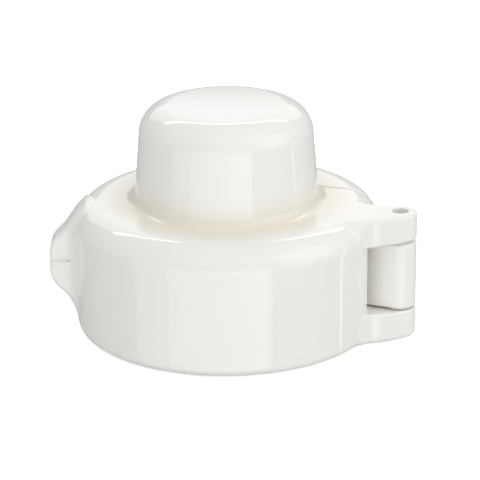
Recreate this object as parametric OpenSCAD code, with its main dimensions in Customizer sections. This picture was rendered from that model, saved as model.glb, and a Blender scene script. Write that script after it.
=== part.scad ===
/* [Drum] */
// Outside radius of the lower drum
drum_r = 30; // [28:0.5:33]
// Height of the drum's flat top above the rim
drum_h = 25.7; // [25:0.1:28]
// Radius of the rounded shoulder round the drum's top
shoulder_r = 5.2; // [3:0.1:6]
// Radius of the rounded outside edge at the rim
rim_r = 1.6; // [0.5:0.1:1.8]
// Wall thickness of both shells
wall = 2; // [1.9:0.1:2.2]

/* [Dome] */
// Height of the dome's flat top above the rim
total_h = 45; // [44:0.5:50]
// Radius of the dome where its side meets the rounded top edge
dome_top_r = 17; // [16.5:0.1:18]
// Radius of the dome's rounded top edge
dome_edge_r = 5.2; // [3.5:0.1:6]
// Lean of the dome's side, in degrees from upright
dome_draft = 4.8; // [2:0.2:6]
// Radius of the hollow corner at the dome's foot
foot_r = 1.8; // [0.5:0.1:2.5]

/* [Hinge] */
// Distance of the hinge pin from the drum's axis
pin_reach = 34.7; // [34.2:0.1:36]
// Direction of the hinge pin, in degrees round the drum's axis
hinge_dir = -15; // [-18:1:-12]
// Outside radius of the hinge knuckles
knuckle_r = 3.25; // [2.9:0.05:3.5]
// Radius of the hinge pin
pin_r = 1.5; // [1.2:0.05:1.7]
// Running clearance of the pin in the middle knuckle
pin_gap = 0.05; // [0.03:0.01:0.08]
// Height of the top of the lower lug
lower_lug_top = 6.1; // [5:0.1:7]
// Height of the underside of the upper lug
upper_lug_bottom = 20; // [19:0.1:21]
// Depth of the pin's ends inside the lugs
pin_sink = 1.1; // [0.5:0.1:1.5]

/* [Parting] */
// Distance of the parting plane behind the drum's axis
split_c = 12.8; // [12:0.1:13.5]
// Direction the parting plane faces, in degrees round the drum's axis
split_dir = 68.5; // [66:0.5:71]
// Gap between the two shells along the parting plane
seam_gap = 0.12; // [0.08:0.01:0.3]

/* [Finger tab] */
// Reach of the tab's end from the drum's axis
tab_reach = 35.2; // [34:0.1:37]
// Thickness of the tab
tab_t = 7; // [5:0.5:9]
// Radius that turns the tab's end into its sloping edges
tab_nose_r = 5; // [3:0.5:5.5]
// Height of the upright flat at the tab's end
tab_flat_h = 3.3; // [2.7:0.1:4.5]
// Height of the middle of that flat
tab_mid = 13.6; // [13:0.1:14]
// Height of the fine groove round the tab's end
tab_groove_z = 14; // [13.4:0.1:14.4]

/* [Pourer] */
// Radius of the rubber stopper over its ribs
stopper_r = 9.6; // [9:0.1:10.5]
// Radius of the moulded stem inside the stopper
stem_r = 7.5; // [7.2:0.1:8]
// Radius of the stem's collar above the base plate
collar_r = 7; // [6.9:0.05:7.3]
// Height of the underside of the base plate
plate_z = 20.2; // [19.5:0.1:20.6]
// Outside radius of the pouring tube
spout_r = 4; // [3.5:0.1:4.1]
// Lean of the pouring tube's upper part, in degrees
spout_lean = 35; // [20:1:38]

/* [Hidden] */
$fn = 96;
eps = 0.01;
big = 90;

// Dome outline: the side is a cone that runs tangent into the rounded top edge
edge_cx = dome_top_r - dome_edge_r;
edge_cz = total_h - dome_edge_r;
side_top_x = edge_cx + dome_edge_r * cos(dome_draft);
side_top_z = edge_cz + dome_edge_r * sin(dome_draft);
dome_base_r = side_top_x + (side_top_z - drum_h) * tan(dome_draft);
// Hollow corner at the dome's foot, tangent to the side and to the drum's top
foot_cx = dome_base_r + (foot_r - foot_r * sin(dome_draft)) / cos(dome_draft);
foot_cz = drum_h + foot_r;
foot_bite = 0.01;

// Heights of the middle knuckle and of the window it stands in
knuckle_gap = 0.4;
barrel_bottom = lower_lug_top + knuckle_gap;
barrel_top = upper_lug_bottom - knuckle_gap;
window_dir = -25;
lug_rear = 0.55;
lug_front = -8.7;

// Base plate and its ledge on the rear shell
plate_t = 2.4;
plate_r = 17.4;
tongue_w = 19;
ledge_t = 3.2;
ledge_front = 17.2;
screw_spacing = 12;
screw_c = 21.6;
screw_r = 1.25;
screw_head_r = 2.3;
screw_head_t = 1.5;

// Stopper stack, from the bottom of the stem to the plate
stem_bottom = 1.6;
flange_t = 1.5;
gasket_t = 1.5;
gasket_top = plate_z - flange_t;
sleeve_bottom = 2.4;
sleeve_top = gasket_top - gasket_t - 0.1;
land_h = 4;
rib_count = 4;
rib_t = 1.4;
sleeve_core_r = 8.3;
collar_top = plate_z + plate_t + 5.2;

// Pouring tube and air vent
tube_wall = 0.5;
spout_y = -2.3;
spout_foot_z = 8;
bend_z = collar_top + 0.9;
bend_step = 4;
elbow_swell = 0.03;
seal_h = 0.9;
seal_w = 0.5;
spout_tip = 6.8;
vent_r = 1.5;
vent_wall = 0.4;
vent_y = 4.6;
vent_top = 31.5;

// Magnets of the catch
magnet_r = 2.5;
magnet_t = 2;
magnet_z = 13;
magnet_side = -21.6;
boss_w = 6.6;
boss_h = 7.4;
boss_d = 4.4;

// Mouth pad under the dome's ceiling
pad_r = 6.5;
pad_t = 1.1;
pad_y = -6;

module along_split() {
    rotate([0, 0, split_dir - 90])
        children();
}

module along_hinge() {
    rotate([0, 0, hinge_dir])
        children();
}

module at_pin() {
    along_hinge()
        translate([pin_reach, 0, 0])
            children();
}

// Everything behind the parting plane, set back from it by a gap
module behind_split(gap) {
    along_split()
        translate([-big / 2, split_c + gap, -1])
            cube([big, big, total_h + 2]);
}

// Half outline of the outside of both tiers
module outer_outline() {
    translate([0, rim_r])
        square([drum_r, drum_h - shoulder_r - rim_r]);
    square([drum_r - rim_r, drum_h - shoulder_r]);
    square([drum_r - shoulder_r, drum_h]);
    translate([drum_r - rim_r, rim_r])
        circle(rim_r);
    translate([drum_r - shoulder_r, drum_h - shoulder_r])
        circle(shoulder_r);
    dome_outline(0);
    difference() {
        polygon([
            [dome_base_r - 2, drum_h - 1],
            [foot_cx, drum_h - 1],
            [foot_cx, drum_h],
            [foot_cx - foot_r * cos(dome_draft), foot_cz - foot_r * sin(dome_draft)],
            [dome_base_r - 2, foot_cz]
        ]);
        translate([foot_cx, foot_cz])
            circle(foot_r + foot_bite);
    }
}

// Half outline of the dome, drawn in by inset on every side
module dome_outline(inset) {
    edge = dome_edge_r - inset;
    tx = edge_cx + edge * cos(dome_draft);
    tz = edge_cz + edge * sin(dome_draft);
    foot_z = drum_h - wall - 1;
    polygon([
        [0, foot_z],
        [tx + (tz - foot_z) * tan(dome_draft), foot_z],
        [tx, tz],
        [edge_cx, edge_cz],
        [edge_cx, edge_cz + edge],
        [0, edge_cz + edge]
    ]);
    translate([edge_cx, edge_cz])
        circle(edge);
}

// Half outline of the hollow under both tiers
module inner_outline() {
    corner = shoulder_r - wall;
    translate([0, -1])
        square([drum_r - wall, drum_h - shoulder_r + 1]);
    square([drum_r - shoulder_r, drum_h - wall]);
    translate([drum_r - shoulder_r, drum_h - shoulder_r])
        circle(corner);
    dome_outline(wall);
}

module two_tier_shell() {
    difference() {
        rotate_extrude()
            outer_outline();
        rotate_extrude()
            inner_outline();
    }
}

// Sector of the drum's wall that the hinge window takes out of the cover
module window_cut(low, high, inner) {
    translate([0, 0, low])
        linear_extrude(high - low)
            difference() {
                polygon([
                    [0, 0],
                    [60 * cos(window_dir), 60 * sin(window_dir)],
                    [60, 0],
                    [60 * cos(20), 60 * sin(20)]
                ]);
                circle(inner);
            }
}

// A tapered web from the drum's wall out to a round knuckle
module knuckle_web(low, high, root_half, root_x) {
    along_hinge()
        translate([0, 0, low])
            linear_extrude(high - low) {
                polygon([
                    [root_x, -root_half],
                    [pin_reach, -knuckle_r],
                    [pin_reach, knuckle_r],
                    [root_x, root_half]
                ]);
                translate([pin_reach, 0])
                    circle(knuckle_r);
            }
}

// A lug of the cover: its root is wider towards the front, with a blunt corner before the knuckle
module cover_lug(low, high) {
    along_hinge()
        translate([0, 0, low])
            linear_extrude(high - low) {
                polygon([
                    [drum_r - 5, lug_rear],
                    [pin_reach - 0.75, knuckle_r - 0.17],
                    [pin_reach + 0.9, 0.2 - knuckle_r],
                    [pin_reach - 1.1, -knuckle_r - 2.1],
                    [pin_reach - 2.5, -knuckle_r - 3.1],
                    [drum_r - 5, lug_front]
                ]);
                translate([pin_reach, 0])
                    circle(knuckle_r);
            }
}

module magnet_boss(near, far) {
    along_split()
        translate([magnet_side - boss_w / 2 - 1.2, near, magnet_z - boss_h / 2])
            cube([boss_w + 1.2, far - near, boss_h]);
}

module magnet_disc(near) {
    along_split()
        translate([magnet_side, near, magnet_z])
            rotate([-90, 0, 0])
                cylinder(r = magnet_r, h = magnet_t);
}

// ---------------------------------------------------------------- rear side

module rear_shell() {
    color([0.94, 0.93, 0.9])
        difference() {
            union() {
                intersection() {
                    two_tier_shell();
                    behind_split(seam_gap / 2);
                }
                hinge_arm();
                plate_ledge();
                intersection() {
                    magnet_boss(split_c + seam_gap / 2, split_c + boss_d);
                    cylinder(r = drum_r - wall / 2, h = drum_h);
                }
            }
            at_pin()
                cylinder(r = pin_r + pin_gap, h = drum_h);
            magnet_disc(split_c + seam_gap / 2 + 0.3);
            screw_places()
                translate([0, 0, -drum_h])
                    cylinder(r = screw_r + 0.2, h = drum_h + eps);
        }
}

// The arm that carries the middle knuckle through the cover's window
module hinge_arm() {
    low = barrel_bottom;
    high = barrel_top;
    arm_r = drum_r - wall - 0.2;
    knuckle_web(low, high, 2.2, arm_r - 1);
    difference() {
        window_cut(low, high, arm_r - wall);
        translate([0, 0, low - 1])
            linear_extrude(high - low + 2)
                difference() {
                    circle(big);
                    circle(arm_r);
                }
        rotate([0, 0, window_dir + 3])
            translate([0, -big, 0])
                cube([big, big, big]);
    }
    intersection() {
        difference() {
            cylinder(r = drum_r - 0.6, h = high);
            translate([0, 0, -1])
                cylinder(r = arm_r - wall, h = high + 2);
        }
        rotate([0, 0, 1])
            translate([20, 0, low])
                cube([20, 6, high - low]);
    }
}

module screw_places() {
    along_split()
        for (side = [-1, 1])
            translate([side * screw_spacing / 2, screw_c, plate_z])
                children();
}

// Ledge inside the rear wall that the base plate is screwed to
module plate_ledge() {
    intersection() {
        along_split()
            translate([-tongue_w / 2, ledge_front, plate_z - ledge_t])
                cube([tongue_w, drum_r, ledge_t]);
        cylinder(r = drum_r - wall / 2, h = drum_h);
    }
}

module base_plate() {
    color("silver")
        difference() {
            union() {
                translate([0, 0, plate_z])
                    cylinder(r = plate_r, h = plate_t);
                intersection() {
                    along_split()
                        translate([-tongue_w / 2, 0, plate_z])
                            cube([tongue_w, drum_r, plate_t]);
                    translate([0, 0, plate_z])
                        cylinder(r = drum_r - shoulder_r + 0.9, h = plate_t);
                }
            }
            translate([0, 0, plate_z - 1])
                cylinder(r = collar_r, h = plate_t + 2);
            screw_places()
                translate([0, 0, -1])
                    cylinder(r = screw_r, h = plate_t + 2);
        }
}

module plate_screws() {
    color("gainsboro")
        screw_places() {
            translate([0, 0, -ledge_t])
                cylinder(r = screw_r, h = ledge_t + plate_t - 0.2);
            difference() {
                translate([0, 0, -ledge_t - screw_head_t])
                    cylinder(r = screw_head_r, h = screw_head_t);
                for (turn = [0, 90])
                    rotate([0, 0, turn])
                        translate([-1.5, -0.3, -ledge_t - screw_head_t - eps])
                            cube([3, 0.6, 0.8]);
            }
        }
}

module hinge_washers() {
    washer_t = knuckle_gap - 0.1;
    color("ivory")
        at_pin()
            for (low = [lower_lug_top + 0.05, barrel_top + 0.05])
                translate([0, 0, low])
                    difference() {
                        cylinder(r = knuckle_r - 0.45, h = washer_t);
                        translate([0, 0, -1])
                            cylinder(r = pin_r + pin_gap, h = washer_t + 2);
                    }
}

module shell_magnet() {
    color("lightgray")
        magnet_disc(split_c + seam_gap / 2 + 0.3);
}

module neck_gasket() {
    color("dimgray")
        translate([0, 0, gasket_top - gasket_t])
            difference() {
                cylinder(r = 13.6, h = gasket_t);
                translate([0, 0, -1])
                    cylinder(r = stem_r, h = gasket_t + 2);
            }
}

module stopper_stem() {
    color([0.2, 0.2, 0.21])
        difference() {
            union() {
                translate([0, 0, stem_bottom])
                    cylinder(r = stem_r, h = gasket_top - stem_bottom);
                translate([0, 0, gasket_top])
                    cylinder(r = 14, h = flange_t);
                translate([0, 0, gasket_top])
                    cylinder(r = collar_r, h = collar_top - gasket_top);
            }
            translate([0, spout_y, 0])
                cylinder(r = spout_r - tube_wall, h = big);
            translate([0, spout_y, spout_foot_z])
                cylinder(r = spout_r, h = big);
            translate([0, vent_y, 0])
                cylinder(r = vent_r, h = big);
            translate([0, 0, plate_z + plate_t + 0.05])
                difference() {
                    cylinder(r = collar_r + 1, h = 0.8);
                    translate([0, 0, -1])
                        cylinder(r = collar_r - 0.35, h = 3);
                }
            translate([0, spout_y, collar_top - seal_h + 0.2])
                cylinder(r = spout_r + seal_w, h = 1);
        }
}

module stopper_sleeve() {
    pitch = (sleeve_top - land_h - sleeve_bottom) / rib_count;
    color([0.13, 0.13, 0.14])
        difference() {
            union() {
                translate([0, 0, sleeve_bottom])
                    cylinder(r = sleeve_core_r, h = sleeve_top - sleeve_bottom);
                translate([0, 0, sleeve_top - land_h])
                    cylinder(r = stopper_r, h = land_h);
                for (i = [0:rib_count - 1])
                    translate([0, 0, sleeve_bottom + i * pitch])
                        cylinder(r = stopper_r, h = rib_t);
            }
            cylinder(r = stem_r, h = big);
        }
}

module retaining_ring() {
    color("silver")
        translate([0, 0, plate_z + plate_t + 0.05])
            difference() {
                cylinder(r = collar_r + 1.1, h = 0.8);
                translate([0, 0, -1])
                    cylinder(r = collar_r - 0.35, h = 3);
                translate([-1.6, collar_r - 2, -1])
                    cube([3.2, 5, 3]);
            }
}

// The tube rises straight from the stem, bends forward and ends square
module spout_tube() {
    color("lightgray")
        difference() {
            spout_solid(spout_r, 0);
            spout_solid(spout_r - tube_wall, 1);
        }
}

// A pipe bent in two steps, with a ball in each elbow; extra opens both of its ends
module spout_solid(radius, extra) {
    translate([0, spout_y, spout_foot_z - extra])
        cylinder(r = radius, h = bend_z - spout_foot_z + extra);
    translate([0, spout_y, bend_z]) {
        sphere(radius + elbow_swell);
        rotate([spout_lean / 2, 0, 0]) {
            cylinder(r = radius, h = bend_step);
            translate([0, 0, bend_step]) {
                sphere(radius + elbow_swell);
                rotate([spout_lean / 2, 0, 0])
                    cylinder(r = radius, h = spout_tip + extra);
            }
        }
    }
}

module spout_seal() {
    color("black")
        translate([0, spout_y, collar_top - seal_h + 0.2])
            difference() {
                cylinder(r = spout_r + seal_w, h = seal_h);
                translate([0, 0, -1])
                    cylinder(r = spout_r, h = 3);
            }
}

module vent_tube() {
    color("silver")
        difference() {
            translate([0, vent_y, 0.6])
                cylinder(r = vent_r, h = vent_top - 0.6);
            translate([0, vent_y, 0])
                cylinder(r = vent_r - vent_wall, h = big);
        }
}

// Small cap over the vent's mouth, open at the sides so that air gets in
module vent_hood() {
    color([0.2, 0.2, 0.21])
        difference() {
            translate([0, vent_y, vent_top - 2.2])
                cylinder(r = vent_r + 0.7, h = 3.4);
            translate([0, vent_y, vent_top - 3])
                cylinder(r = vent_r, h = 3 + eps);
            translate([0, vent_y, vent_top])
                cylinder(r = vent_r - vent_wall, h = 0.6);
            translate([-5, vent_y - 0.5, vent_top - eps])
                cube([10, 1, 0.6]);
        }
}

// Rubber pads on the ledge that steady the bottle's neck
module neck_pads() {
    color("dimgray")
        along_split()
            for (side = [-1, 1])
                translate([side * 5.6 - 2, ledge_front - 1.4, plate_z - ledge_t + 0.3])
                    cube([4, 1.4, ledge_t - 0.6]);
}

// -------------------------------------------------------------- front cover

module front_cover() {
    color([0.95, 0.94, 0.91])
        difference() {
            union() {
                difference() {
                    union() {
                        two_tier_shell();
                        finger_tab();
                    }
                    window_cut(lower_lug_top, upper_lug_bottom, drum_r - 7);
                    behind_split(-seam_gap / 2);
                }
                difference() {
                    union() {
                        cover_lug(0.2, lower_lug_top);
                        cover_lug(upper_lug_bottom, drum_h);
                    }
                    translate([0, 0, -1])
                        cylinder(r = drum_r - wall - 0.6, h = drum_h - wall + 1);
                    behind_split(-seam_gap / 2);
                }
                cover_boss();
            }
            at_pin()
                translate([0, 0, -1])
                    cylinder(r = pin_r, h = drum_h + 2);
            magnet_disc(split_c - seam_gap / 2 - 0.3 - magnet_t);
            translate([0, pad_y, total_h - wall - 1])
                cylinder(r = 1, h = 1.9);
        }
}

module cover_boss() {
    intersection() {
        magnet_boss(split_c - boss_d, split_c - seam_gap / 2);
        cylinder(r = drum_r - wall / 2, h = drum_h);
    }
}

// Upright ear whose ends slope into the drum, with a fine groove near mid height
module finger_tab() {
    groove = 0.3;
    groove_low = tab_groove_z - groove / 2;
    difference() {
        translate([0, tab_t / 2, tab_mid])
            rotate([90, 0, 0])
                linear_extrude(tab_t)
                    tab_outline(-(drum_r - wall / 2));
        for (side = [-1, 1])
            translate([-tab_reach - 1, side * tab_t / 2 - groove / 2, groove_low])
                cube([8, groove, groove]);
        translate([-tab_reach - groove / 2, -tab_t, groove_low])
            cube([groove, 2 * tab_t, groove]);
    }
}

// Side outline of the tab: an upright end, two noses and edges that slope at 45 degrees
module tab_outline(root_x) {
    nose_x = -(tab_reach - tab_nose_r);
    slope_x = nose_x - tab_nose_r * sin(45);
    slope_z = tab_flat_h / 2 + tab_nose_r * cos(45);
    root_z = slope_z + root_x - slope_x;
    difference() {
        union() {
            polygon([[root_x, -root_z], [slope_x, -slope_z], [slope_x, slope_z], [root_x, root_z]]);
            for (side = [-1, 1])
                translate([nose_x, side * tab_flat_h / 2])
                    circle(tab_nose_r);
            translate([-tab_reach, -tab_flat_h / 2])
                square([tab_nose_r, tab_flat_h]);
        }
        translate([root_x, -drum_h])
            square([drum_r, 2 * drum_h]);
    }
}

module hinge_pin() {
    color("silver")
        at_pin()
            translate([0, 0, 0.2 + pin_sink])
                cylinder(r = pin_r, h = drum_h - 0.2 - 2 * pin_sink);
}

module cover_magnet() {
    color("lightgray")
        magnet_disc(split_c - seam_gap / 2 - 0.3 - magnet_t);
}

// Soft pad over the pouring tube's mouth when the cover is shut
module mouth_pad() {
    color("dimgray")
        translate([0, pad_y, total_h - wall - pad_t])
            difference() {
                cylinder(r = pad_r, h = pad_t);
                translate([0, 0, -1])
                    cylinder(r = 1, h = pad_t + 2);
            }
}

// Stud that holds the pad, pressed into the dome's ceiling
module pad_stud() {
    color("gainsboro")
        translate([0, pad_y, total_h - wall]) {
            translate([0, 0, -pad_t])
                cylinder(r = 1, h = pad_t + 0.9);
            translate([0, 0, -pad_t - 0.5])
                cylinder(r = 2, h = 0.5);
        }
}

rear_shell();
base_plate();
plate_screws();
hinge_washers();
shell_magnet();
neck_gasket();
stopper_stem();
stopper_sleeve();
retaining_ring();
spout_tube();
spout_seal();
vent_tube();
vent_hood();
neck_pads();
front_cover();
hinge_pin();
cover_magnet();
mouth_pad();
pad_stud();
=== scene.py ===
import math

import bpy
import numpy as np
from mathutils import Matrix


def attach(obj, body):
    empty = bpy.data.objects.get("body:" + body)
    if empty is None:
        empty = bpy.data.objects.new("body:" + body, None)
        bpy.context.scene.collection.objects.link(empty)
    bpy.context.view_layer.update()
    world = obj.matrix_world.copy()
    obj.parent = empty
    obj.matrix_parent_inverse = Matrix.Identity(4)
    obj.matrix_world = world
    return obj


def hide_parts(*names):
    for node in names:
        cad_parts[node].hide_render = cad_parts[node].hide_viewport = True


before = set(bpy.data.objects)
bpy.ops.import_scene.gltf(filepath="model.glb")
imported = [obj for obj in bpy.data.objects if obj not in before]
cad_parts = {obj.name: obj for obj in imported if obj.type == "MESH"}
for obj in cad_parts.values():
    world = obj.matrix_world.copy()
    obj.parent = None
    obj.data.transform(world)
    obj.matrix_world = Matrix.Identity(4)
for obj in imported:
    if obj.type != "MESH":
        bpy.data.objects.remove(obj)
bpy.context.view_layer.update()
MM = 0.001


# ---------------------------------------------------------------- rear moulding
# The rear half of the housing: a gloss ivory moulding with the drum's and the dome's back wall,
# the middle knuckle on its set-back web, the ledge for the base plate and a boss for a magnet.
# It stays on the bottle. Lengths in this section are in millimetres.
DRUM_R, DRUM_H, WALL = 30.0, 25.7, 2.0
SHOULDER, RIM = 5.2, 1.6
TOTAL_H, DOME_TOP_R, DOME_EDGE = 45.0, 17.0, 5.2
DRAFT = math.radians(4.8)
FOOT, FOOT_INSIDE = 1.8, 0.7
DOME_FLOOR = 20.0
HINGE_DIR = math.radians(-15)
PIN_REACH, KNUCKLE_R, PIN_R, PIN_GAP = 34.7, 3.25, 1.5, 0.05
PIN_X, PIN_Y = PIN_REACH * math.cos(HINGE_DIR), PIN_REACH * math.sin(HINGE_DIR)
BARREL_LOW, BARREL_HIGH = 6.5, 19.6
SPLIT_DIR, SPLIT, SEAM, PARTING_EDGE = math.radians(68.5), 12.8, 0.12, 0.3
# Blocks inside the drum end at BLOCK_R. The boss and the ledge are given along the parting plane,
# away from it and up.
BLOCK_R = 29
BOSS_ALONG, BOSS_DEPTH, BOSS_UP = (-26.1, -18.3), 4.4, (9.3, 16.7)
LEDGE_LOW, LEDGE_HIGH = (-9.5, 17.2, 17.0), (9.5, 40, 20.2)
BLOCK_EDGE, BLOCK_ROOT = 0.5, 0.8
# The knuckle's arm lies against the drum's inside as a thin strip, tied to the shell at its end.
STRIP_R, STRIP_HALF, STRIP_FROM, STRIP_TO = 26.8, 1, math.radians(-22), math.radians(14)
TIE_R, TIE_HALF, TIE_DIR, TIE_SPREAD = 27.6, 1.8, math.radians(8.5), math.radians(7.5)
ARM_R, ARM_ROOT, ARM_EDGE, BORE_EDGE = 25.8, 1.0, 0.35, 0.25
WEB_TAPER = math.radians(-7.6)


def hollow_join(a, b, k):
    """Both bodies in one, with a hollow corner of radius k between them."""
    return np.maximum(k, np.minimum(a, b)) - np.hypot(np.maximum(k - a, 0), np.maximum(k - b, 0))


def round_cut(a, b, k):
    """What lies in both bodies, with its edges rounded to radius k."""
    return np.minimum(-k, np.maximum(a, b)) + np.hypot(np.maximum(k + a, 0), np.maximum(k + b, 0))


def two_tiers(radius, z, inset):
    """Distance from the outline of drum and dome, drawn in by inset."""
    corner = SHOULDER - inset
    drum = round_cut(radius - DRUM_R + inset, z - DRUM_H + inset, corner)
    if inset == 0:
        drum = round_cut(drum, -z, RIM)
    edge_x, edge_z = DOME_TOP_R - DOME_EDGE, TOTAL_H - DOME_EDGE
    side = (radius - edge_x) * math.cos(DRAFT) + (z - edge_z) * math.sin(DRAFT) - DOME_EDGE + inset
    dome = round_cut(side, z - TOTAL_H + inset, DOME_EDGE - inset)
    dome = np.maximum(dome, DOME_FLOOR - z)
    return hollow_join(drum, dome, FOOT if inset == 0 else FOOT_INSIDE)


def hinge_frame(x, y):
    """Distances along and across the line from the drum's axis to the pin."""
    along = x * math.cos(HINGE_DIR) + y * math.sin(HINGE_DIR)
    across = y * math.cos(HINGE_DIR) - x * math.sin(HINGE_DIR)
    return along, across


def knuckle_web(x, y, flare):
    """Plan of a web that runs tangent into a knuckle and widens by flare towards the drum."""
    along, across = hinge_frame(x, y)
    along, across = along - PIN_REACH, np.abs(across)
    line = along * math.sin(flare) + across * math.cos(flare) - KNUCKLE_R
    nose = along * math.cos(flare) - across * math.sin(flare) > 0
    plan = np.where(nose, np.hypot(along, across) - KNUCKLE_R, line)
    return np.maximum(plan, -10 - along)


def behind_split(x, y):
    """Distance from the drum's axis in the direction that the parting plane faces."""
    return x * math.cos(SPLIT_DIR) + y * math.sin(SPLIT_DIR)


def block(x, y, z, low, high, k):
    """A box in the parting plane's directions: across it, away from the axis, and up."""
    t = x * math.sin(SPLIT_DIR) - y * math.cos(SPLIT_DIR)
    s = behind_split(x, y)
    plan = round_cut(np.abs(t - (low[0] + high[0]) / 2) - (high[0] - low[0]) / 2,
                     np.abs(s - (low[1] + high[1]) / 2) - (high[1] - low[1]) / 2, k)
    return round_cut(plan, np.abs(z - (low[2] + high[2]) / 2) - (high[2] - low[2]) / 2, k)


def rear_solid(x, y, z):
    """The rear moulding as a distance: below nought inside the plastic."""
    radius = np.hypot(x, y)
    shell = np.maximum(two_tiers(radius, z, 0), -two_tiers(radius, z, WALL))
    split = SPLIT + SEAM / 2 - behind_split(x, y)
    ledge = np.maximum(block(x, y, z, LEDGE_LOW, LEDGE_HIGH, BLOCK_EDGE), radius - BLOCK_R)
    boss = block(x, y, z, (BOSS_ALONG[0], SPLIT + SEAM / 2, BOSS_UP[0]),
                 (BOSS_ALONG[1], SPLIT + BOSS_DEPTH, BOSS_UP[1]), BLOCK_EDGE)
    body = round_cut(shell, split, PARTING_EDGE)
    body = hollow_join(body, ledge, BLOCK_ROOT)
    body = np.maximum(hollow_join(body, np.maximum(boss, radius - BLOCK_R), BLOCK_ROOT), split)
    azimuth = np.arctan2(y, x)
    strip = round_cut(np.abs(radius - STRIP_R) - STRIP_HALF, radius * (STRIP_FROM - azimuth), 0.3)
    strip = np.maximum(strip, radius * (azimuth - STRIP_TO))
    tie = np.maximum(np.abs(radius - TIE_R) - TIE_HALF, radius * (np.abs(azimuth - TIE_DIR) - TIE_SPREAD))
    plan = hollow_join(np.minimum(strip, tie), knuckle_web(x, y, WEB_TAPER), ARM_ROOT)
    plan = np.maximum(plan, ARM_R - radius)
    bore = np.hypot(x - PIN_X, y - PIN_Y) - PIN_R - PIN_GAP
    plan = round_cut(plan, -bore, BORE_EDGE)
    arm = round_cut(round_cut(plan, z - BARREL_HIGH, ARM_EDGE), BARREL_LOW - z, ARM_EDGE)
    return np.minimum(body, arm)


def slope(solid, p):
    """Unit direction in which the distance grows, at each of the points."""
    out = np.empty_like(p)
    for axis in range(3):
        step = np.zeros(3)
        step[axis] = 0.004
        out[:, axis] = solid(*(p + step).T) - solid(*(p - step).T)
    return out / np.maximum(np.linalg.norm(out, axis=1, keepdims=True), 1e-12)


def ladder(low, high, step, close=()):
    """Levels from low to high, closer together round each (centre, half width, step)."""
    levels = np.arange(low, high + step, step)
    for centre, half, fine in close:
        levels = levels[np.abs(levels - centre) > half + fine * 0.5]
        levels = np.concatenate([levels, np.arange(centre - half, centre + half + fine / 2, fine)])
    return np.sort(levels)


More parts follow.
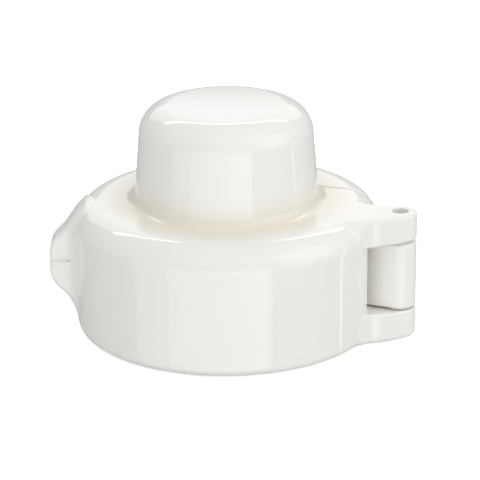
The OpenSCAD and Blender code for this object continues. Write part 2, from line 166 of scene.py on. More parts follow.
def mould(name, solid, levels):
    """A closed mesh on the surface of solid, with its sharp edges kept and its own normals.

    The surface is found on the grid's edges, and each cell that it crosses gets one vertex, where
    the planes through the cell's crossings meet.
    """
    grid = solid(levels[0][:, None, None], levels[1][None, :, None], levels[2][None, None, :])
    grid = grid.astype(float)
    count = np.array(grid.shape) - 1
    weights = np.array([count[1] * count[2], count[2], 1])
    rows = []
    for axis in range(3):
        first = [slice(None)] * 3
        second = [slice(None)] * 3
        first[axis], second[axis] = slice(0, -1), slice(1, None)
        i = np.argwhere((grid[tuple(first)] < 0) != (grid[tuple(second)] < 0))
        j = i.copy()
        j[:, axis] += 1
        a = np.stack([levels[k][i[:, k]] for k in range(3)], 1)
        b = np.stack([levels[k][j[:, k]] for k in range(3)], 1)
        fa, fb = grid[tuple(i.T)], grid[tuple(j.T)]
        outward = fb > fa
        ta, tb = np.zeros(len(i)), np.ones(len(i))
        for turn in range(8):
            t = ta + (tb - ta) * (fa / (fa - fb) if turn % 3 < 2 else 0.5)
            f = solid(*(a + (b - a) * t[:, None]).T)
            low = (f < 0) == (fa < 0)
            ta, fa = np.where(low, t, ta), np.where(low, f, fa)
            tb, fb = np.where(low, tb, t), np.where(low, fb, f)
        t = np.where(np.abs(fa) < np.abs(fb), ta, tb)
        u, v = np.eye(3, dtype=int)[(axis + 1) % 3], np.eye(3, dtype=int)[(axis + 2) % 3]
        cells = np.stack([i @ weights, (i - u) @ weights, (i - u - v) @ weights, (i - v) @ weights], 1)
        cells[~outward] = cells[~outward][:, ::-1]
        rows.append((a + (b - a) * t[:, None], cells))
    # one vertex for each cell, at the least-squares meeting point of its planes
    points = np.concatenate([r[0] for r in rows])
    quads = np.concatenate([r[1] for r in rows])
    normals = slope(solid, points)
    ids, corner = np.unique(quads, return_inverse=True)
    corner = corner.reshape(quads.shape)
    flat = corner.ravel()
    p, n = np.repeat(points, 4, axis=0), np.repeat(normals, 4, axis=0)
    share = np.bincount(flat)
    mean = np.stack([np.bincount(flat, p[:, k]) for k in range(3)], 1) / share[:, None]
    drop = np.einsum("ij,ij->i", n, p - mean[flat])
    square = np.empty((len(ids), 3, 3))
    pull = np.empty((len(ids), 3))
    for r in range(3):
        pull[:, r] = np.bincount(flat, n[:, r] * drop)
        for c in range(3):
            square[:, r, c] = np.bincount(flat, n[:, r] * n[:, c])
    size, turn = np.linalg.eigh(square)
    keep = size > 0.08 * size[:, 2:]
    along = np.einsum("nij,ni->nj", turn, pull) * keep / np.maximum(size, 1e-9)
    place = mean + np.einsum("nij,nj->ni", turn, along)
    cell = np.stack([ids // weights[0], ids % weights[0] // weights[1], ids % weights[1]], 1)
    floor = np.stack([levels[k][cell[:, k]] for k in range(3)], 1)
    top = np.stack([levels[k][cell[:, k] + 1] for k in range(3)], 1)
    # a vertex that left its cell goes back to the middle, and smooth parts are drawn onto the surface
    strayed = ((place < floor - 1e-3) | (place > top + 1e-3)).any(axis=1)
    place[strayed] = mean[strayed]
    smooth = (keep.sum(axis=1) == 1) | strayed
    for _ in range(2):
        move = slope(solid, place[smooth]) * solid(*place[smooth].T)[:, None]
        length = np.linalg.norm(move, axis=1, keepdims=True)
        place[smooth] -= move * np.minimum(1, 0.2 / np.maximum(length, 1e-9))
    mesh = bpy.data.meshes.new(name)
    mesh.from_pydata((place * MM).tolist(), [], corner.tolist())
    mesh.polygons.foreach_set("use_smooth", np.ones(len(corner), bool))
    centre = place[corner].mean(axis=1, keepdims=True)
    # normals are the solid's own, taken just inside each face where an edge is sharp
    near = slope(solid, (0.8 * place[corner] + 0.2 * centre).reshape(-1, 3))
    at_vertex = slope(solid, place)[flat]
    agree = np.einsum("ij,ij->i", near, at_vertex) > math.cos(math.radians(24))
    mesh.normals_split_custom_set(np.where(agree[:, None], at_vertex, near).tolist())
    mesh.validate(clean_customdata=False)
    piece = bpy.data.objects.new(name, mesh)
    bpy.context.collection.objects.link(piece)
    return piece


def node_group(name, inputs, outputs):
    """An empty shader node group with named inputs (name, default) and outputs (name, socket type)."""
    group = bpy.data.node_groups.new(name, "ShaderNodeTree")
    for label, value in inputs:
        socket = group.interface.new_socket(name=label, in_out="INPUT", socket_type="NodeSocketFloat")
        socket.default_value = value
    for label, kind in outputs:
        group.interface.new_socket(name=label, in_out="OUTPUT", socket_type=kind)
    return group, group.nodes.new("NodeGroupInput"), group.nodes.new("NodeGroupOutput")


def wired(tree, kind, inputs=None, **settings):
    """A node with its settings; an input is either a value or the socket that feeds it."""
    node = tree.nodes.new(kind)
    for key, value in settings.items():
        setattr(node, key, value)
    for key, value in (inputs or {}).items():
        if isinstance(value, bpy.types.NodeSocket):
            tree.links.new(value, node.inputs[key])
        else:
            node.inputs[key].default_value = value
    return node


def mould_grain_group():
    """Cloudy flow of the melt, fine texture of the mould and the odd speck of dust."""
    group, given, result = node_group(
        "mould_grain",
        [("Flow", 60.0), ("Texture", 2600.0), ("Rough Low", 0.1), ("Rough High", 0.2)],
        [("Tone", "NodeSocketFloat"), ("Roughness", "NodeSocketFloat"), ("Height", "NodeSocketFloat")])
    place = wired(group, "ShaderNodeTexCoord")
    flow = wired(group, "ShaderNodeTexNoise", {"Vector": place.outputs["Object"], "Scale": given.outputs["Flow"],
                                               "Detail": 4.0, "Roughness": 0.55})
    fine = wired(group, "ShaderNodeTexNoise", {"Vector": place.outputs["Object"],
                                               "Scale": given.outputs["Texture"], "Detail": 3.0})
    specks = wired(group, "ShaderNodeTexVoronoi", {"Vector": place.outputs["Object"], "Scale": 190.0})
    speck = wired(group, "ShaderNodeMapRange", {"Value": specks.outputs["Distance"], "From Min": 0.02,
                                                "From Max": 0.06, "To Min": 0.35, "To Max": 0.0})
    tone = wired(group, "ShaderNodeMapRange", {"Value": flow.outputs["Fac"], "From Min": 0.3, "From Max": 0.7})
    tone = wired(group, "ShaderNodeMath", {0: tone.outputs[0], 1: speck.outputs[0]}, operation="ADD",
                 use_clamp=True)
    rough = wired(group, "ShaderNodeMapRange", {"Value": flow.outputs["Fac"], "From Min": 0.3, "From Max": 0.7,
                                                "To Min": given.outputs["Rough Low"],
                                                "To Max": given.outputs["Rough High"]})
    group.links.new(tone.outputs[0], result.inputs["Tone"])
    group.links.new(rough.outputs[0], result.inputs["Roughness"])
    group.links.new(fine.outputs["Fac"], result.inputs["Height"])
    return group


MOULD_GRAIN = mould_grain_group()


def painted_foot_shade_group():
    """Painted shade: a darker, warmer colour where the walls meet in a hollow corner and shade falls."""
    group, given, result = node_group(
        "painted_foot_shade", [("Radius", 0.02), ("Level", 0.0257), ("Reach", 0.006)],
        [("Painted Shade", "NodeSocketFloat")])
    place = wired(group, "ShaderNodeTexCoord")
    flat = wired(group, "ShaderNodeVectorMath", {0: place.outputs["Object"], 1: (1, 1, 0)},
                 operation="MULTIPLY")
    radius = wired(group, "ShaderNodeVectorMath", {0: flat.outputs["Vector"]}, operation="LENGTH")
    axes = wired(group, "ShaderNodeSeparateXYZ", {0: place.outputs["Object"]})
    out = wired(group, "ShaderNodeMath", {0: radius.outputs["Value"], 1: given.outputs["Radius"]},
                operation="SUBTRACT")
    up = wired(group, "ShaderNodeMath", {0: axes.outputs["Z"], 1: given.outputs["Level"]},
               operation="SUBTRACT")
    both = wired(group, "ShaderNodeCombineXYZ", {"X": out.outputs[0], "Y": up.outputs[0]})
    gap = wired(group, "ShaderNodeVectorMath", {0: both.outputs["Vector"]}, operation="LENGTH")
    shade_amount = wired(group, "ShaderNodeMapRange",
                   {"Value": gap.outputs["Value"], "From Max": given.outputs["Reach"], "To Min": 1.0, "To Max": 0.0},
                   interpolation_type="SMOOTHSTEP")
    group.links.new(shade_amount.outputs[0], result.inputs["Painted Shade"])
    return group


def moulded(name, light, dark, rough, bump, texture=2600.0, metallic=0.0, shade_colour=None, **shine):
    """A material with mould grain: two close colours, a range of roughness and a fine bump.

    The optional shade colour is painted shade: darker and warmer, mixed into the hollow corner at the dome's foot
    where shade falls, where there is one.
    """
    material = bpy.data.materials.new(name)
    material.use_nodes = True
    tree = material.node_tree
    shader = tree.nodes["Principled BSDF"]
    grain = wired(tree, "ShaderNodeGroup", node_tree=MOULD_GRAIN)
    for key, value in (("Texture", texture), ("Rough Low", rough[0]), ("Rough High", rough[1])):
        grain.inputs[key].default_value = value
    colour = wired(tree, "ShaderNodeMix", data_type="RGBA")
    colour.inputs["A"].default_value = (*light, 1)
    colour.inputs["B"].default_value = (*dark, 1)
    tree.links.new(grain.outputs["Tone"], colour.inputs["Factor"])
    relief = wired(tree, "ShaderNodeBump", {"Height": grain.outputs["Height"], "Strength": bump,
                                            "Distance": 0.00002})
    # Painted shade: the hollow corner at the dome's foot is mixed towards a darker, warmer colour.
    if shade_colour:
        foot_shade = wired(tree, "ShaderNodeGroup", node_tree=painted_foot_shade_group())
        shaded = wired(tree, "ShaderNodeMix", data_type="RGBA")
        tree.links.new(foot_shade.outputs["Painted Shade"], shaded.inputs["Factor"])
        tree.links.new([s for s in colour.outputs if s.type == "RGBA"][0], shaded.inputs["A"])
        shaded.inputs["B"].default_value = (*shade_colour, 1)
        colour = shaded
    tree.links.new([s for s in colour.outputs if s.type == "RGBA"][0], shader.inputs["Base Color"])
    tree.links.new(grain.outputs["Roughness"], shader.inputs["Roughness"])
    tree.links.new(relief.outputs["Normal"], shader.inputs["Normal"])
    shader.inputs["Metallic"].default_value = metallic
    for key, value in shine.items():
        shader.inputs[key.replace("_", " ")].default_value = value
    return material


# Ivory with a random tone; the last colour is painted shade for the hollow at the dome's foot.
IVORY = moulded("ivory_gloss_plastic", (0.93, 0.915, 0.86), (0.915, 0.895, 0.83), (0.03, 0.05), 0.1,
                shade_colour=(0.86, 0.81, 0.685), IOR=1.5)


def finished(piece, material, body, slot, *nodes):
    """A piece with its material, on its body, in place of its CAD nodes."""
    piece.data.materials.clear()
    piece.data.materials.append(material)
    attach(piece, body)
    if nodes:
        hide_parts(*nodes)


# The grids are finer round the pin, at level edges and where the parting line runs down the dome.
SEAM_ENDS = ([(15.0, 1.2, 0.15), (-5.7, 1.2, 0.15)], [(7.9, 1.2, 0.15), (15.9, 1.2, 0.15)])
REAR_GRID = (ladder(-25, 39, 0.45, [(PIN_X, 3.6, 0.3), *SEAM_ENDS[0]]),
             ladder(-13.5, 31, 0.45, [(PIN_Y, 3.6, 0.3), *SEAM_ENDS[1]]),
             ladder(-0.7, 46, 0.45, [(BARREL_LOW, 0.6, 0.15), (BARREL_HIGH, 0.6, 0.15)]))
rear_moulding = mould("rear_moulding", rear_solid, REAR_GRID)
finished(rear_moulding, IVORY, "pourer", "shell_plastic", "rear_shell")


# ---------------------------------------------------------------- front moulding
# The swinging half: both tiers in one gloss moulding, with two lugs that hold the pin and an
# upright finger tab with sloping ends and a fine level groove. It turns on the pin as one piece.
LUG_LOW, LUG_HIGH = 6.1, 20.0
LUG_CORNER, LUG_CORNER_R = (33.08, -5.99), 1.5
LUG_FRONT_DIR, LUG_OUTER_DIR, LUG_CAP_DIR, LUG_BACK_DIR = 18.7, 43.3, 119.1, 195
LUG_START, LUG_ROOT, LUG_EDGE, LUG_INSIDE_EDGE = 22, 1.6, 0.8, 0.4
# Near the lugs the drum's rounded edges turn into their square ones, over these distances.
NEAR_MIDDLE, NEAR_FULL, NEAR_NONE, NEAR_FROM, NEAR_TO = -2.85, 4.6, 7.0, 14, 18
WINDOW_DIR, WINDOW_R, WINDOW_X, WINDOW_EDGE = math.radians(25), 23, 10, 0.6
TAB_REACH, TAB_ROOT, TAB_HALF, TAB_NOSE, TAB_FLAT = 35.2, 28.4, 3.5, 5.0, 1.65
TAB_MID, TAB_EDGE, TAB_FILLET = 13.6, 0.9, 2.6
TAB_GROOVE, GROOVE_R, GROOVE_LIP = 14.0, 0.26, 0.08


def ease(value, low, high):
    """0 up to low, 1 from high on, and a smooth step between."""
    t = np.clip((value - low) / (high - low), 0, 1)
    return t * t * (3 - 2 * t)


def side_line(along, across, through, degrees):
    """Distance to the right of a line in the hinge's frame, through a point at an angle."""
    turn = math.radians(degrees)
    return (along - through[0]) * math.sin(turn) - (across - through[1]) * math.cos(turn)


def lug_plan(along, across):
    """A web with a level back, a blunt corner at the front, and sides tangent to the knuckle."""
    front = round_cut(side_line(along, across, LUG_CORNER, LUG_FRONT_DIR),
                      side_line(along, across, LUG_CORNER, LUG_OUTER_DIR), LUG_CORNER_R)
    top = (PIN_REACH - KNUCKLE_R * math.sin(math.radians(15)), KNUCKLE_R * math.cos(math.radians(15)))
    web = np.maximum(front, side_line(along, across, top, LUG_BACK_DIR))
    web = np.maximum(np.maximum(web, side_line(along, across, top, LUG_CAP_DIR)), LUG_START - along)
    return np.minimum(web, np.hypot(along - PIN_REACH, across) - KNUCKLE_R)


def finger_tab(x, y, z):
    """The tab and the groove round its end."""
    out, up = -x - (TAB_REACH - TAB_NOSE), np.abs(z - TAB_MID) - TAB_FLAT
    slant = (out + up) / math.sqrt(2)
    side = np.where((up > 0) & (up < out), np.hypot(out, up), slant)
    side = np.where(up <= 0, np.maximum(out, slant), side) - TAB_NOSE
    side = np.maximum(side, x + TAB_ROOT)
    tab = round_cut(side, np.abs(y) - TAB_HALF, TAB_EDGE)
    groove = np.hypot(np.abs(y) - TAB_HALF, z - TAB_GROOVE) - GROOVE_R
    end = np.hypot(x + TAB_REACH, z - TAB_GROOVE) - GROOVE_R
    return tab, np.minimum(groove, end)


def front_solid(x, y, z):
    """The front moulding as a distance: below nought inside the plastic."""
    radius = np.hypot(x, y)
    along, across = hinge_frame(x, y)
    plan = hollow_join(radius - DRUM_R, lug_plan(along, across), LUG_ROOT)
    near = (1 - ease(np.abs(across - NEAR_MIDDLE), NEAR_FULL, NEAR_NONE)) * ease(along, NEAR_FROM, NEAR_TO)
    shoulder = SHOULDER + (LUG_EDGE - SHOULDER) * near
    rim = RIM + (LUG_EDGE - RIM) * near
    upper = round_cut(round_cut(plan, z - DRUM_H, shoulder), LUG_HIGH - z, LUG_INSIDE_EDGE)
    lower = round_cut(round_cut(plan, 0.2 * near - z, rim), z - LUG_LOW, LUG_INSIDE_EDGE)
    tab, groove = finger_tab(x, y, z)
    outside = hollow_join(two_tiers(radius, z, 0), tab, TAB_FILLET)
    outside = np.maximum(np.minimum(np.minimum(outside, upper), lower), -z)
    window = np.maximum(-(y * math.cos(WINDOW_DIR) + x * math.sin(WINDOW_DIR)), WINDOW_R - radius)
    window = np.maximum(window, np.maximum(LUG_LOW - z, z - LUG_HIGH))
    window = np.maximum(window, WINDOW_X - x)
    shell = np.maximum(outside, -two_tiers(radius, z, WALL))
    shell = round_cut(shell, -window, WINDOW_EDGE)
    boss = block(x, y, z, (BOSS_ALONG[0], SPLIT - BOSS_DEPTH, BOSS_UP[0]),
                 (BOSS_ALONG[1], SPLIT + 3, BOSS_UP[1]), BLOCK_EDGE)
    shell = hollow_join(shell, np.maximum(boss, radius - BLOCK_R), BLOCK_ROOT)
    shell = round_cut(shell, -groove, GROOVE_LIP)
    shell = round_cut(shell, behind_split(x, y) - SPLIT + SEAM / 2, PARTING_EDGE)
    return round_cut(shell, PIN_R - np.hypot(x - PIN_X, y - PIN_Y), 0.2)


FRONT_GRID = (ladder(-36.4, 38, 0.45, [(-TAB_REACH, 0.6, 0.1), (PIN_X, 3.6, 0.3), *SEAM_ENDS[0]]),
              ladder(-31, 22.6, 0.45, [(-TAB_HALF, 0.6, 0.1), (TAB_HALF, 0.6, 0.1), (PIN_Y, 3.6, 0.3),
                                       *SEAM_ENDS[1]]),
              ladder(-0.7, 46, 0.45, [(LUG_LOW, 0.6, 0.15), (TAB_GROOVE, 0.5, 0.08), (LUG_HIGH, 0.6, 0.15),
                                      (DRUM_H, 0.9, 0.2)]))
front_moulding = mould("front_moulding", front_solid, FRONT_GRID)
finished(front_moulding, IVORY, "cover", "shell_plastic", "front_cover")


# ---------------------------------------------------------------- hinge pin and washers
# A drawn steel pin with turned-down ends, pressed into both lugs and free in the middle knuckle.
# A thin natural nylon washer sits above and below that knuckle.
def turned(name, outline, centre=(0.0, 0.0), steps=96):
    """A piece turned round an upright axis: outline is (radius, height) in millimetres, in order."""
    outline = np.array(outline, float)
    closed = outline[0, 0] > 0 or outline[-1, 0] > 0
    angle = np.arange(steps) * 2 * math.pi / steps
    verts, rings = [], []
    for radius, height in outline:
        if radius == 0:
            rings.append([len(verts)] * steps)
            verts.append((centre[0], centre[1], height))
            continue
        rings.append(list(range(len(verts), len(verts) + steps)))
        verts += [(centre[0] + radius * math.cos(t), centre[1] + radius * math.sin(t), height) for t in angle]
    faces = []
    pairs = list(zip(rings, rings[1:])) + ([(rings[-1], rings[0])] if closed else [])
    for low, high in pairs:
        for i in range(steps):
            k = (i + 1) % steps
            corners = [low[i], low[k], high[k], high[i]]
            faces.append(list(dict.fromkeys(corners)))
    mesh = bpy.data.meshes.new(name)
    mesh.from_pydata((np.array(verts) * MM).tolist(), [], faces)
    mesh.polygons.foreach_set("use_smooth", [True] * len(faces))
    mesh.set_sharp_from_angle(angle=math.radians(32))
    piece = bpy.data.objects.new(name, mesh)
    bpy.context.collection.objects.link(piece)
    return piece


def arc(centre_r, centre_z, radius, start, stop, steps=6):
    """Points on a quarter or other part of a circle in an outline, in degrees from the radius."""
    return [(centre_r + radius * math.cos(math.radians(a)), centre_z + radius * math.sin(math.radians(a)))
            for a in np.linspace(start, stop, steps)]


def brushed_group():
    """Fine lines left by drawing, turning or brushing, stretched along one direction."""
    group, given, result = node_group(
        "brushed_lines", [("Fineness", 900.0), ("Stretch X", 1.0), ("Stretch Z", 0.03)],
        [("Lines", "NodeSocketFloat")])
    place = wired(group, "ShaderNodeTexCoord")
    across = wired(group, "ShaderNodeCombineXYZ", {"X": given.outputs["Stretch X"], "Y": 1.0,
                                                   "Z": given.outputs["Stretch Z"]})
    stretched = wired(group, "ShaderNodeVectorMath", {0: place.outputs["Object"], 1: across.outputs[0]},
                      operation="MULTIPLY")
    lines = wired(group, "ShaderNodeTexNoise", {"Vector": stretched.outputs[0], "Scale": given.outputs["Fineness"],
                                                "Detail": 5.0, "Roughness": 0.65})
    group.links.new(lines.outputs["Fac"], result.inputs["Lines"])
    return group


BRUSHED = brushed_group()


def metal(name, light, dark, rough, bump, stretch):
    """A metal with drawn or brushed lines in its colour, its roughness and its relief.

    stretch is the lines' fineness and how much of it is left along X and along Z.
    """
    material = bpy.data.materials.new(name)
    material.use_nodes = True
    tree = material.node_tree
    shader = tree.nodes["Principled BSDF"]
    lines = wired(tree, "ShaderNodeGroup", node_tree=BRUSHED)
    lines.inputs["Fineness"].default_value = stretch[0]
    lines.inputs["Stretch X"].default_value = stretch[1]
    lines.inputs["Stretch Z"].default_value = stretch[2]
    colour = wired(tree, "ShaderNodeMix", data_type="RGBA")
    colour.inputs["A"].default_value = (*dark, 1)
    colour.inputs["B"].default_value = (*light, 1)
    tree.links.new(lines.outputs["Lines"], colour.inputs["Factor"])
    roughness = wired(tree, "ShaderNodeMapRange", {"Value": lines.outputs["Lines"], "From Min": 0.25,
                                                   "From Max": 0.75, "To Min": rough[0], "To Max": rough[1]})
    relief = wired(tree, "ShaderNodeBump", {"Height": lines.outputs["Lines"], "Strength": bump,
                                            "Distance": 0.00001})
    tree.links.new([s for s in colour.outputs if s.type == "RGBA"][0], shader.inputs["Base Color"])
    tree.links.new(roughness.outputs[0], shader.inputs["Roughness"])
    tree.links.new(relief.outputs["Normal"], shader.inputs["Normal"])
    shader.inputs["Metallic"].default_value = 1.0
    return material


PIN_STEEL = metal("drawn_pin_steel", (0.66, 0.67, 0.69), (0.5, 0.51, 0.53), (0.18, 0.34), 0.3,
                  (900.0, 1.0, 0.04))
NYLON = moulded("natural_nylon", (0.86, 0.84, 0.76), (0.8, 0.78, 0.7), (0.42, 0.55), 0.4)

PIN_LOW, PIN_HIGH = 1.3, 23.9
hinge_pin = turned("pin", [(0, PIN_LOW), (1.05, PIN_LOW), (1.3, PIN_LOW + 0.08), (PIN_R, PIN_LOW + 0.35),
                           (PIN_R, PIN_HIGH - 0.35), (1.3, PIN_HIGH - 0.08), (1.05, PIN_HIGH), (0.45, PIN_HIGH),
                           (0.3, PIN_HIGH - 0.25), (0, PIN_HIGH - 0.35)], (PIN_X, PIN_Y))
finished(hinge_pin, PIN_STEEL, "cover", "pin_steel", "hinge_pin")


def repaint(node, material):
    """Another finish on a CAD node that keeps its shape."""
    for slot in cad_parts[node].material_slots:
        slot.material = material


repaint("hinge_washers", NYLON)


# ---------------------------------------------------------------- base plate and its screws
# A blanked, brushed stainless plate that closes the drum above the bottle's lip and carries the
# stem; its tongue rests on the ledge, held from below by two pan-head screws with crossed slots.
PLATE_STEEL = metal("brushed_plate_steel", (0.68, 0.68, 0.69), (0.5, 0.5, 0.51), (0.24, 0.42), 0.5,
                    (1400.0, 0.03, 1.0))
SCREW_STEEL = metal("bright_zinc", (0.74, 0.75, 0.77), (0.6, 0.61, 0.63), (0.2, 0.32), 0.25, (500.0, 1.0, 1.0))
repaint("base_plate", PLATE_STEEL)

HEAD_R, HEAD_LOW, HEAD_HIGH, HEAD_CROWN = 2.3, 15.5, 17.0, 0.75
THREAD_R, THREAD_DEPTH, THREAD_PITCH, THREAD_TOP = 1.25, 0.1, 0.5, 22.4
CROSS_REACH, CROSS_HALF, CROSS_TOP = 1.5, 0.3, 16.3
SCREW_ALONG, SCREW_BACK = 6, 21.6


def pan_head_screw(name, t, s):
    """Pan head with a crossed slot, facing down, and a threaded shank; t and s from the split."""
    cx = t * math.sin(SPLIT_DIR) + s * math.cos(SPLIT_DIR)
    cy = -t * math.cos(SPLIT_DIR) + s * math.sin(SPLIT_DIR)

    def solid(x, y, z):
        x, y = x - cx, y - cy
        radius = np.hypot(x, y)
        head = round_cut(radius - HEAD_R, HEAD_LOW - z, HEAD_CROWN)
        head = round_cut(head, z - HEAD_HIGH, 0.15)
        turns = z / THREAD_PITCH + np.arctan2(y, x) / (2 * math.pi)
        thread = THREAD_DEPTH * np.abs(turns % 1.0 - 0.5) * 2
        shank = np.maximum(radius - THREAD_R + thread, np.maximum(HEAD_HIGH - 0.5 - z, z - THREAD_TOP))
        slot_a = np.maximum(np.abs(x) - CROSS_REACH, np.abs(y) - CROSS_HALF)
        slot_b = np.maximum(np.abs(y) - CROSS_REACH, np.abs(x) - CROSS_HALF)
        cross = np.maximum(np.minimum(slot_a, slot_b), z - CROSS_TOP)
        return np.maximum(np.minimum(head, shank), -cross)

    return mould(name, solid, (ladder(cx - 2.6, cx + 2.6, 0.16), ladder(cy - 2.6, cy + 2.6, 0.16),
                               ladder(15.2, 22.8, 0.1)))


for label, along_plane in (("left", -SCREW_ALONG), ("right", SCREW_ALONG)):
    finished(pan_head_screw("ledge_screw_" + label, along_plane, SCREW_BACK), SCREW_STEEL, "pourer",
             "screw_steel", "plate_screws")


# ---------------------------------------------------------------- magnets of the catch
# Two nickel-plated discs, one moulded into the boss of each half; they hold the housing shut.
NICKEL = metal("nickel_plate", (0.76, 0.74, 0.7), (0.68, 0.66, 0.62), (0.12, 0.24), 0.15, (300.0, 1.0, 1.0))
for node in ("shell_magnet", "cover_magnet"):
    repaint(node, NICKEL)


# ---------------------------------------------------------------- stopper
# A satin black stem with the liquor and air passages; a black rubber sleeve with soft tapered ribs
# is stretched over it, a grey silicone gasket meets the bottle's lip, and a snap ring holds the
# stem in the plate.
STEM = moulded("satin_black_stem", (0.028, 0.028, 0.03), (0.045, 0.045, 0.047), (0.3, 0.45), 0.5)
RUBBER = moulded("black_stopper_rubber", (0.022, 0.022, 0.023), (0.035, 0.034, 0.034), (0.55, 0.75), 0.8, 1500.0)
SILICONE = moulded("grey_silicone", (0.5, 0.51, 0.51), (0.44, 0.45, 0.45), (0.45, 0.6), 0.6, 1800.0)
repaint("stopper_stem", STEM)
repaint("vent_hood", STEM)
for node in ("neck_gasket", "neck_pads", "mouth_pad"):
    repaint(node, SILICONE)
repaint("retaining_ring", SCREW_STEEL)
repaint("pad_stud", SCREW_STEEL)

STEM_R, SLEEVE_CORE, RIB_R, RIBS = 7.5, 8.3, 9.6, 4
SLEEVE_LOW, SLEEVE_HIGH, LAND = 2.4, 17.1, 4.0
rib_pitch = (SLEEVE_HIGH - LAND - SLEEVE_LOW) / RIBS
profile = [(STEM_R, SLEEVE_HIGH - 0.1), (STEM_R, SLEEVE_LOW + 0.25)]
for rib in range(RIBS):
    foot = SLEEVE_LOW + rib * rib_pitch
    profile += arc(RIB_R - 0.45, foot + 0.45, 0.45, -65, 60, 7)
    profile += [(SLEEVE_CORE + 0.5, foot + 1.15), (SLEEVE_CORE + 0.12, foot + 1.45), (SLEEVE_CORE, foot + 1.75)]
    profile += [(SLEEVE_CORE, foot + rib_pitch - 0.35), (SLEEVE_CORE + 0.15, foot + rib_pitch - 0.08)]
profile += arc(RIB_R - 0.5, SLEEVE_HIGH - LAND + 0.5, 0.5, -75, 0)
profile += arc(RIB_R - 0.4, SLEEVE_HIGH - 0.4, 0.4, 0, 90)
sleeve = turned("ribbed_sleeve", profile)
finished(sleeve, RUBBER, "pourer", "stopper_rubber", "stopper_sleeve")
repaint("spout_seal", RUBBER)


# ---------------------------------------------------------------- pouring tube and air vent
# A polished stainless tube, bent forward in one smooth curve, with a rolled lip at its mouth;
# behind it a fine air tube that ends in a small hood.
POLISHED = metal("polished_stainless", (0.74, 0.74, 0.75), (0.66, 0.66, 0.67), (0.07, 0.14), 0.12,
                 (700.0, 1.0, 0.05))
SPOUT_R, SPOUT_WALL, SPOUT_Y, SPOUT_LOW, LEAN = 4.0, 0.5, -2.3, 8.0, math.radians(35)


def pouring_tube():
    """The tube swept along its bend, outside and inside, with the lip rolled over at the mouth."""
    bend_low, step, tip = 28.7, 4.0, 6.8
    half = LEAN / 2
    corners = [np.array((SPOUT_Y, bend_low)),
               np.array((SPOUT_Y - step * math.sin(half), bend_low + step * math.cos(half)))]
    mouth = corners[1] + tip * np.array((-math.sin(LEAN), math.cos(LEAN)))
    # one arc in place of the two elbows, from as far below the first as it ends above the second
    reach = step / 2 + 0.6
    start = corners[0] - np.array((0, reach))
    radius = (reach + step / 2) / math.tan(half)
    path = [(np.array((SPOUT_Y, z)), 0.0) for z in np.linspace(SPOUT_LOW, start[1], 10)]
    for a in np.linspace(0, LEAN, 25)[1:]:
        path.append((start + radius * np.array((math.cos(a) - 1, math.sin(a))), a))
    end = path[-1][0]
    length = float((mouth - end) @ np.array((-math.sin(LEAN), math.cos(LEAN))))
    for d in np.linspace(0, length, 9)[1:]:
        path.append((end + d * np.array((-math.sin(LEAN), math.cos(LEAN))), LEAN))
    outer = [SPOUT_R] * len(path)
    outer[0] = SPOUT_R - 0.12
    steps, verts, faces, rings = 64, [], [], []

    def ring(place, angle, r):
        rings.append(list(range(len(verts), len(verts) + steps)))
        for k in range(steps):
            t = 2 * math.pi * k / steps
            off = r * math.sin(t)
            verts.append((r * math.cos(t), place[0] + off * math.cos(angle), place[1] + off * math.sin(angle)))

    for (place, angle), r in zip(path, outer):
        ring(place, angle, r)
    place, angle = path[-1]
    direction = np.array((-math.sin(angle), math.cos(angle)))
    for r, d in ((3.97, 0.08), (3.88, 0.18), (3.75, 0.24), (3.62, 0.18), (3.53, 0.08), (3.5, 0.0)):
        ring(place + d * direction - 0.24 * direction, angle, r)
    for place, angle in reversed(path[:-1]):
        ring(place, angle, SPOUT_R - SPOUT_WALL)
    for low, high in zip(rings, rings[1:] + rings[:1]):
        for i in range(steps):
            k = (i + 1) % steps
            faces.append((low[i], low[k], high[k], high[i]))
    mesh = bpy.data.meshes.new("pouring_tube")
    mesh.from_pydata((np.array(verts) * MM).tolist(), [], faces)
    mesh.polygons.foreach_set("use_smooth", [True] * len(faces))
    mesh.set_sharp_from_angle(angle=math.radians(40))
    piece = bpy.data.objects.new("pouring_tube", mesh)
    bpy.context.collection.objects.link(piece)
    return piece


finished(pouring_tube(), POLISHED, "pourer", "tube_steel", "spout_tube")
repaint("vent_tube", POLISHED)


# ---------------------------------------------------------------- studio
# A plain pale floor in a white surround. A broad softbox and two low cards stand in front, a strip
# and a fill at the right, and soft light comes from above and from behind, where a second strip
# draws the bright line on the rounded edges.
FLOOR_GLOW, FLOOR_HALF, FLOOR_Z = 0.6, 6, -0.0002


def plain_floor():
    """A wide matt floor that glows a little for the camera, so that it blends into the surround."""
    mesh = bpy.data.meshes.new("studio_floor")
    corners = [(-FLOOR_HALF, -FLOOR_HALF), (FLOOR_HALF, -FLOOR_HALF), (FLOOR_HALF, FLOOR_HALF),
               (-FLOOR_HALF, FLOOR_HALF)]
    mesh.from_pydata([(*corner, FLOOR_Z) for corner in corners], [], [(0, 1, 2, 3)])
    floor = bpy.data.objects.new("studio_floor", mesh)
    bpy.context.collection.objects.link(floor)
    floor.visible_glossy = False
    material = bpy.data.materials.new("pale_floor")
    material.use_nodes = True
    tree = material.node_tree
    shader = tree.nodes["Principled BSDF"]
    shader.inputs["Base Color"].default_value = (0.86, 0.86, 0.86, 1)
    shader.inputs["Roughness"].default_value = 0.9
    seen = wired(tree, "ShaderNodeLightPath")
    glow = wired(tree, "ShaderNodeMath", {0: seen.outputs["Is Camera Ray"], 1: FLOOR_GLOW},
                 operation="MULTIPLY")
    shader.inputs["Emission Color"].default_value = (1, 1, 1, 1)
    tree.links.new(glow.outputs[0], shader.inputs["Emission Strength"])
    mesh.materials.append(material)


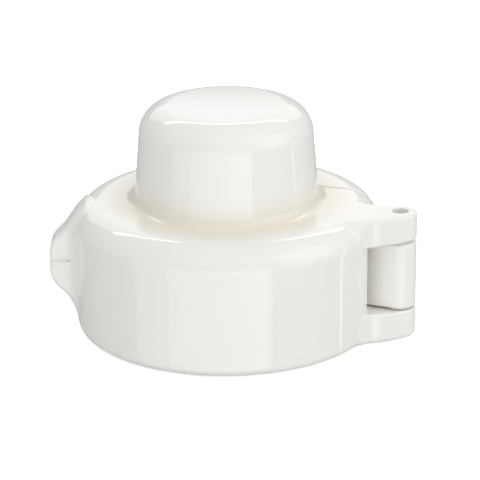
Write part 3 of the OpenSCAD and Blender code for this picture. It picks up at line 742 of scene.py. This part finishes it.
def soft_light(name, azimuth, elevation, distance, size, power, colour=(1, 1, 1), shows="both"):
    """A rectangular softbox that faces the object; azimuth 0 is the camera's side, + to the right.

    shows is "gloss" for a card that only the gloss picks up, and "body" for light that it doesn't.
    """
    data = bpy.data.lights.new(name, "AREA")
    data.shape = "RECTANGLE"
    data.size, data.size_y = size
    data.energy = power
    data.color = colour
    lamp = bpy.data.objects.new(name, data)
    bpy.context.collection.objects.link(lamp)
    a, e = math.radians(azimuth), math.radians(elevation)
    lamp.location = (distance * math.sin(a) * math.cos(e), -distance * math.cos(a) * math.cos(e),
                     0.02 + distance * math.sin(e))
    lamp.rotation_euler = (math.pi / 2 - e, 0, a)
    lamp.visible_diffuse = shows != "gloss"
    lamp.visible_glossy = shows != "body"
    return lamp


plain_floor()
soft_light("front_softbox", -8, 12, 1.2, (2.28, 1.3), 6.0, (0.945, 0.963, 1.0), "body")
for name, azimuth, width, power in (("front_card", -20, 3.0, 9.2), ("front_card_inner", -7, 1.78, 5.8)):
    card = soft_light(name, azimuth, -27, 1.28, (width, 1.22), power, (0.95, 0.965, 1.0), "gloss")
    card.rotation_euler[0] = math.pi / 2
soft_light("right_strip", 94, 4, 1.2, (0.05, 1.3), 0.4, (1, 1, 1), "gloss")
soft_light("right_fill", 66, 25, 1.3, (0.8, 1.0), 2.7, (0.98, 0.975, 0.99))
soft_light("top_softbox", 20, 72, 1.3, (1.3, 0.7), 5.3, (0.965, 0.965, 1.0), "body")
soft_light("back_softbox", 180, 35, 1.4, (2.0, 0.9), 5.2, (0.96, 0.965, 1.0))
soft_light("back_strip", 182, 52, 1.4, (2.0, 0.14), 3.6, (1, 1, 1), "gloss")
world = bpy.data.worlds.new("studio_white")
world.use_nodes = True
surround = world.node_tree
back = surround.nodes["Background"]
back.inputs["Color"].default_value = (0.975, 0.982, 1, 1)
SURROUND_LIGHT, SURROUND_SEEN = 0.46, 1.08
seen = wired(surround, "ShaderNodeLightPath")
level = wired(surround, "ShaderNodeMapRange", {"Value": seen.outputs["Is Camera Ray"],
                                               "To Min": SURROUND_LIGHT, "To Max": SURROUND_SEEN})
surround.links.new(level.outputs[0], back.inputs["Strength"])
bpy.context.scene.world = world
bpy.context.scene.view_settings.view_transform = "Standard"


def studio_camera():
    """A long lens in front of the object, looking down at it by just under twenty degrees."""
    elevation, distance = math.radians(19.7), 0.42
    centre = np.array((0, 0, 0.021))
    place = centre + distance * np.array((0, -math.cos(elevation), math.sin(elevation)))
    up = np.array((0, math.sin(elevation), math.cos(elevation)))
    aim = centre + 0.0025 * np.array((1, 0, 0)) - 0.00406 * up
    forward = (aim - place) / np.linalg.norm(aim - place)
    right = np.cross(forward, (0, 0, 1))
    right /= np.linalg.norm(right)
    roll = math.radians(-0.54)
    level_up = np.cross(right, forward)
    side = right * math.cos(roll) + level_up * math.sin(roll)
    data = bpy.data.cameras.new("studio_camera")
    data.lens = 159.15
    camera = bpy.data.objects.new("studio_camera", data)
    bpy.context.collection.objects.link(camera)
    axes = np.stack([side, np.cross(side, forward), -forward], 1)
    camera.matrix_world = Matrix.Translation(place.tolist()) @ Matrix(axes.tolist()).to_4x4()
    bpy.context.scene.camera = camera


studio_camera()
